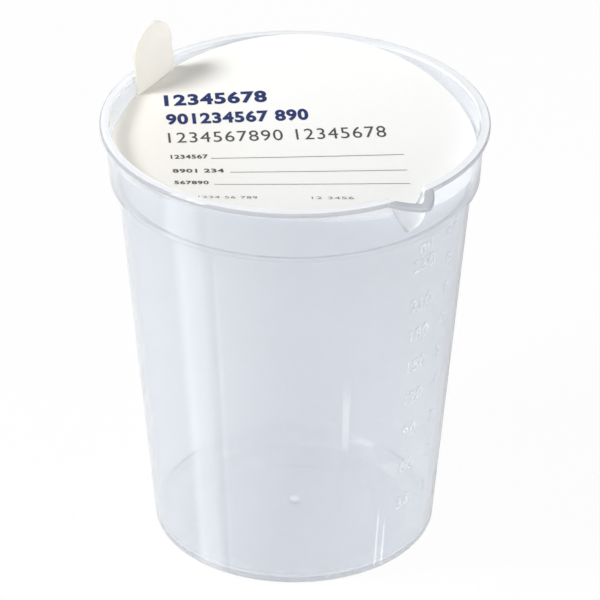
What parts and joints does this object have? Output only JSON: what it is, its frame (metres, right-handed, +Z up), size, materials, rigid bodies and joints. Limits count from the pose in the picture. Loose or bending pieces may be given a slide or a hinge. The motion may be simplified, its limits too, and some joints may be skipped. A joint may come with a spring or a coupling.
{
  "type": "urine specimen container",
  "caption": "Translucent moulded specimen cup with a pouring spout, raised volume numbers and a wedged paperboard lid with a fold-up pull tab",
  "frame": {"origin": "on the cup's axis, in the plane that its foot ring stands on", "axes": "+Z up along the cup's axis, -Y towards the pouring spout, +X to the right of a viewer who faces the spout"},
  "size_m": [0.083, 0.0888, 0.1095],
  "materials": {
    "frosted_plastic": "translucent natural polypropylene, glossy and slightly milky",
    "lid_board": "smooth off-white coated paperboard"
  },
  "bodies": {
    "cup": {"cup": "frosted_plastic"},
    "lid": {"lid": "lid_board"},
    "pull_tab": {"pull_tab": "lid_board"}
  },
  "joints": [
    {"name": "lid_lift", "type": "slide", "parent": "cup", "child": "lid", "axis": [0, 0, 1], "range_m": [0, 0.06]},
    {"name": "tab_fold", "type": "hinge", "parent": "lid", "child": "pull_tab", "pos_m": [-0.01107, 0.03632, 0.09474], "axis": [-0.949, -0.2857, -0.1329], "range_deg": [-90, 5]}
  ]
}
